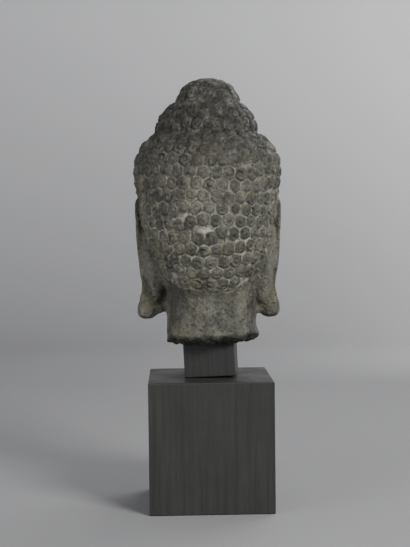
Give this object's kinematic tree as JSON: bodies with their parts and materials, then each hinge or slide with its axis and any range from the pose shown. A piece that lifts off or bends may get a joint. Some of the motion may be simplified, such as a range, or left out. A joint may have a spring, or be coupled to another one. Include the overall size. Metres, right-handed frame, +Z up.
{
  "type": "stone buddha head",
  "caption": "Carved stone head with snail-shell curls, a stepped crown, long ears and a broken neck, resting on a small block over a square plinth.",
  "frame": {"origin": "centre of the plinth's underside, where it stands", "axes": "+Z up, the face looks along -Y, its left ear at +X"},
  "size_m": [0.1858, 0.199, 0.5311],
  "materials": {
    "head_stone": "rough weathered dark volcanic stone with pale deposits in the grooves",
    "block_wood": "dark stained wood, dull",
    "plinth_wood": "dark stained wood, semi-gloss, with faint upright grain"
  },
  "bodies": {
    "root": {"buddha_head": "head_stone", "neck_block": "block_wood", "plinth": "plinth_wood"}
  },
  "joints": []
}
